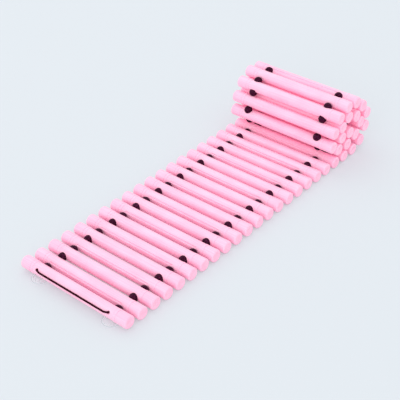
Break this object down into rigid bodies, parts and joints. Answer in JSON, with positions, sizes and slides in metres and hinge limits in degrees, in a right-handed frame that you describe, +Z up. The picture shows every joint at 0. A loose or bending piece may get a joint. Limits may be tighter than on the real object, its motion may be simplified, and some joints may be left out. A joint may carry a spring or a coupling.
{
  "type": "roll-up mat",
  "caption": "Roll-up mat of capped plastic tubes strung on one elastic cord, with round beads as hinges between them, suction cups under the front tube and the far end rolled up.",
  "frame": {"origin": "Bottom centre of the bounding box, on the floor, with the end rolled up.", "axes": "X along the rods, Y from the front rod towards the roll, Z up."},
  "size_m": [0.19, 0.5632, 0.1029],
  "materials": {
    "rods": "pale pink satin plastic with faint lengthwise streaks",
    "cord": "very dark maroon, smooth",
    "cups": "clear soft vinyl"
  },
  "bodies": {
    "rod_01": {"rod_01": "rods", "beads_01": "cord", "front_cord": "cord", "suction_cup_left": "cups", "suction_cup_right": "cups"},
    "rod_02": {"rod_02": "rods"},
    "rod_03": {"rod_03": "rods", "beads_03": "cord"},
    "rod_04": {"rod_04": "rods"},
    "rod_05": {"rod_05": "rods", "beads_05": "cord"},
    "rod_06": {"rod_06": "rods"},
    "rod_07": {"rod_07": "rods", "beads_07": "cord"},
    "rod_08": {"rod_08": "rods"},
    "rod_09": {"rod_09": "rods", "beads_09": "cord"},
    "rod_10": {"rod_10": "rods"},
    "rod_11": {"rod_11": "rods", "beads_11": "cord"},
    "rod_12": {"rod_12": "rods"},
    "rod_13": {"rod_13": "rods", "beads_13": "cord"},
    "rod_14": {"rod_14": "rods"},
    "rod_15": {"rod_15": "rods", "beads_15": "cord"},
    "rod_16": {"rod_16": "rods"},
    "rod_17": {"rod_17": "rods", "beads_17": "cord"},
    "rod_18": {"rod_18": "rods"},
    "rod_19": {"rod_19": "rods", "beads_19": "cord"},
    "rod_20": {"rod_20": "rods"},
    "rod_21": {"rod_21": "rods", "beads_21": "cord"},
    "rod_22": {"rod_22": "rods"},
    "rod_23": {"rod_23": "rods", "beads_23": "cord"},
    "rod_24": {"rod_24": "rods"},
    "rod_25": {"rod_25": "rods", "beads_25": "cord"},
    "rod_26": {"rod_26": "rods"},
    "rod_27": {"rod_27": "rods", "beads_27": "cord"},
    "rod_28": {"rod_28": "rods"},
    "rod_29": {"rod_29": "rods", "beads_29": "cord"},
    "rod_30": {"rod_30": "rods"},
    "rod_31": {"rod_31": "rods", "beads_31": "cord"},
    "rod_32": {"rod_32": "rods"},
    "rod_33": {"rod_33": "rods", "beads_33": "cord"},
    "rod_34": {"rod_34": "rods"},
    "rod_35": {"rod_35": "rods"},
    "rod_36": {"rod_36": "rods"},
    "rod_37": {"rod_37": "rods"},
    "rod_38": {"rod_38": "rods"},
    "rod_39": {"rod_39": "rods"},
    "rod_40": {"rod_40": "rods"}
  },
  "joints": [
    {"name": "gap_21", "type": "hinge", "parent": "rod_22", "child": "rod_21", "pos_m": [0, 0.22341, 0.0092], "axis": [-1, 0, 0], "range_deg": [-75, 0]},
    {"name": "gap_20", "type": "hinge", "parent": "rod_21", "child": "rod_20", "pos_m": [0, 0.20421, 0.0092], "axis": [-1, 0, 0], "range_deg": [-75, 5]},
    {"name": "gap_19", "type": "hinge", "parent": "rod_20", "child": "rod_19", "pos_m": [0, 0.17541, 0.0092], "axis": [-1, 0, 0], "range_deg": [-75, 65]},
    {"name": "gap_18", "type": "hinge", "parent": "rod_19", "child": "rod_18", "pos_m": [0, 0.15621, 0.0092], "axis": [1, 0, 0], "range_deg": [-75, 75]},
    {"name": "gap_17", "type": "hinge", "parent": "rod_18", "child": "rod_17", "pos_m": [0, 0.12741, 0.0092], "axis": [-1, 0, 0], "range_deg": [-75, 75]},
    {"name": "gap_16", "type": "hinge", "parent": "rod_17", "child": "rod_16", "pos_m": [0, 0.10821, 0.0092], "axis": [-1, 0, 0], "range_deg": [-75, 75]},
    {"name": "gap_15", "type": "hinge", "parent": "rod_16", "child": "rod_15", "pos_m": [0, 0.07941, 0.0092], "axis": [1, 0, 0], "range_deg": [-75, 75]},
    {"name": "gap_14", "type": "hinge", "parent": "rod_15", "child": "rod_14", "pos_m": [0, 0.06021, 0.0092], "axis": [1, 0, 0], "range_deg": [-75, 75]},
    {"name": "gap_13", "type": "hinge", "parent": "rod_14", "child": "rod_13", "pos_m": [0, 0.03141, 0.0092], "axis": [-1, 0, 0], "range_deg": [-75, 75]},
    {"name": "gap_12", "type": "hinge", "parent": "rod_13", "child": "rod_12", "pos_m": [0, 0.01221, 0.0092], "axis": [-1, 0, 0], "range_deg": [-75, 75]},
    {"name": "gap_11", "type": "hinge", "parent": "rod_12", "child": "rod_11", "pos_m": [0, -0.01659, 0.0092], "axis": [1, 0, 0], "range_deg": [-75, 75]},
    {"name": "gap_10", "type": "hinge", "parent": "rod_11", "child": "rod_10", "pos_m": [0, -0.03579, 0.0092], "axis": [1, 0, 0], "range_deg": [-75, 75]},
    {"name": "gap_09", "type": "hinge", "parent": "rod_10", "child": "rod_09", "pos_m": [0, -0.06459, 0.0092], "axis": [1, 0, 0], "range_deg": [-75, 75]},
    {"name": "gap_08", "type": "hinge", "parent": "rod_09", "child": "rod_08", "pos_m": [0, -0.08379, 0.0092], "axis": [-1, 0, 0], "range_deg": [-75, 75]},
    {"name": "gap_07", "type": "hinge", "parent": "rod_08", "child": "rod_07", "pos_m": [0, -0.11259, 0.0092], "axis": [-1, 0, 0], "range_deg": [-75, 75]},
    {"name": "gap_06", "type": "hinge", "parent": "rod_07", "child": "rod_06", "pos_m": [0, -0.13179, 0.0092], "axis": [1, 0, 0], "range_deg": [-75, 75]},
    {"name": "gap_05", "type": "hinge", "parent": "rod_06", "child": "rod_05", "pos_m": [0, -0.16059, 0.0092], "axis": [-1, 0, 0], "range_deg": [-75, 75]},
    {"name": "gap_04", "type": "hinge", "parent": "rod_05", "child": "rod_04", "pos_m": [0, -0.17979, 0.0092], "axis": [-1, 0, 0], "range_deg": [-75, 75]},
    {"name": "gap_03", "type": "hinge", "parent": "rod_04", "child": "rod_03", "pos_m": [0, -0.20859, 0.0092], "axis": [-1, 0, 0], "range_deg": [-75, 75]},
    {"name": "gap_02", "type": "hinge", "parent": "rod_03", "child": "rod_02", "pos_m": [0, -0.22779, 0.0092], "axis": [1, 0, 0], "range_deg": [-75, 75]},
    {"name": "gap_01", "type": "hinge", "parent": "rod_02", "child": "rod_01", "pos_m": [0, -0.25659, 0.0092], "axis": [1, 0, 0], "range_deg": [-60, 45]},
    {"name": "gap_22", "type": "hinge", "parent": "rod_22", "child": "rod_23", "pos_m": [0, 0.25221, 0.0092], "axis": [-1, 0, 0], "range_deg": [0, 46.5]},
    {"name": "gap_23", "type": "hinge", "parent": "rod_23", "child": "rod_24", "pos_m": [0, 0.26543, 0.02313], "axis": [-1, 0, 0], "range_deg": [0, 23]},
    {"name": "gap_24", "type": "hinge", "parent": "rod_24", "child": "rod_25", "pos_m": [0, 0.27552, 0.0501], "axis": [-1, 0, 0], "range_deg": [0, 40.5]},
    {"name": "gap_25", "type": "hinge", "parent": "rod_25", "child": "rod_26", "pos_m": [0, 0.26895, 0.06814], "axis": [-1, 0, 0], "range_deg": [0, 30]},
    {"name": "gap_26", "type": "hinge", "parent": "rod_26", "child": "rod_27", "pos_m": [0, 0.24689, 0.08666], "axis": [-1, 0, 0], "range_deg": [0, 9]},
    {"name": "gap_27", "type": "hinge", "parent": "rod_27", "child": "rod_28", "pos_m": [0, 0.23043, 0.09655], "axis": [-1, 0, 0], "range_deg": [0, 42.5]},
    {"name": "gap_28", "type": "hinge", "parent": "rod_28", "child": "rod_29", "pos_m": [0, 0.20221, 0.0908], "axis": [-1, 0, 0], "range_deg": [0, 39.5]},
    {"name": "gap_29", "type": "hinge", "parent": "rod_29", "child": "rod_30", "pos_m": [0, 0.19012, 0.07588], "axis": [-1, 0, 0], "range_deg": [0, 14.5]},
    {"name": "gap_30", "type": "hinge", "parent": "rod_30", "child": "rod_31", "pos_m": [0, 0.17818, 0.04968], "axis": [-1, 0, 0], "range_deg": [0, 38.5]},
    {"name": "gap_31", "type": "hinge", "parent": "rod_31", "child": "rod_32", "pos_m": [0, 0.18283, 0.03105], "axis": [-1, 0, 0], "range_deg": [0, 67]},
    {"name": "gap_32", "type": "hinge", "parent": "rod_32", "child": "rod_33", "pos_m": [0, 0.21127, 0.02654], "axis": [-1, 0, 0], "range_deg": [0, 10.5]},
    {"name": "gap_33", "type": "hinge", "parent": "rod_33", "child": "rod_34", "pos_m": [0, 0.23046, 0.02704], "axis": [-1, 0, 0], "range_deg": [0, 28]},
    {"name": "gap_34", "type": "hinge", "parent": "rod_34", "child": "rod_35", "pos_m": [0, 0.25553, 0.04123], "axis": [-1, 0, 0], "range_deg": [0, 62]},
    {"name": "gap_35", "type": "hinge", "parent": "rod_35", "child": "rod_36", "pos_m": [0, 0.25503, 0.06042], "axis": [-1, 0, 0], "range_deg": [0, 63.5]},
    {"name": "gap_36", "type": "hinge", "parent": "rod_36", "child": "rod_37", "pos_m": [0, 0.22893, 0.07259], "axis": [-1, 0, 0], "range_deg": [0, 10.5]},
    {"name": "gap_37", "type": "hinge", "parent": "rod_37", "child": "rod_38", "pos_m": [0, 0.21034, 0.0774], "axis": [-1, 0, 0], "range_deg": [0, 78]},
    {"name": "gap_38", "type": "hinge", "parent": "rod_38", "child": "rod_39", "pos_m": [0, 0.19749, 0.05162], "axis": [-1, 0, 0], "range_deg": [0, 78]},
    {"name": "gap_39", "type": "hinge", "parent": "rod_39", "child": "rod_40", "pos_m": [0, 0.21251, 0.03967], "axis": [-1, 0, 0], "range_deg": [0, 60.5]}
  ],
  "couplings": [
    {"joint": "gap_23", "follows": "gap_22", "ratio": 0.49462},
    {"joint": "gap_24", "follows": "gap_22", "ratio": 0.87097},
    {"joint": "gap_25", "follows": "gap_22", "ratio": 0.64516},
    {"joint": "gap_26", "follows": "gap_22", "ratio": 0.19355},
    {"joint": "gap_27", "follows": "gap_22", "ratio": 0.91398},
    {"joint": "gap_28", "follows": "gap_22", "ratio": 0.84946},
    {"joint": "gap_29", "follows": "gap_22", "ratio": 0.31183},
    {"joint": "gap_30", "follows": "gap_22", "ratio": 0.82796},
    {"joint": "gap_31", "follows": "gap_22", "ratio": 1.4409},
    {"joint": "gap_32", "follows": "gap_22", "ratio": 0.22581},
    {"joint": "gap_33", "follows": "gap_22", "ratio": 0.60215},
    {"joint": "gap_34", "follows": "gap_22", "ratio": 1.3333},
    {"joint": "gap_35", "follows": "gap_22", "ratio": 1.3656},
    {"joint": "gap_36", "follows": "gap_22", "ratio": 0.22581},
    {"joint": "gap_37", "follows": "gap_22", "ratio": 1.6774},
    {"joint": "gap_38", "follows": "gap_22", "ratio": 1.6774},
    {"joint": "gap_39", "follows": "gap_22", "ratio": 1.3011}
  ]
}
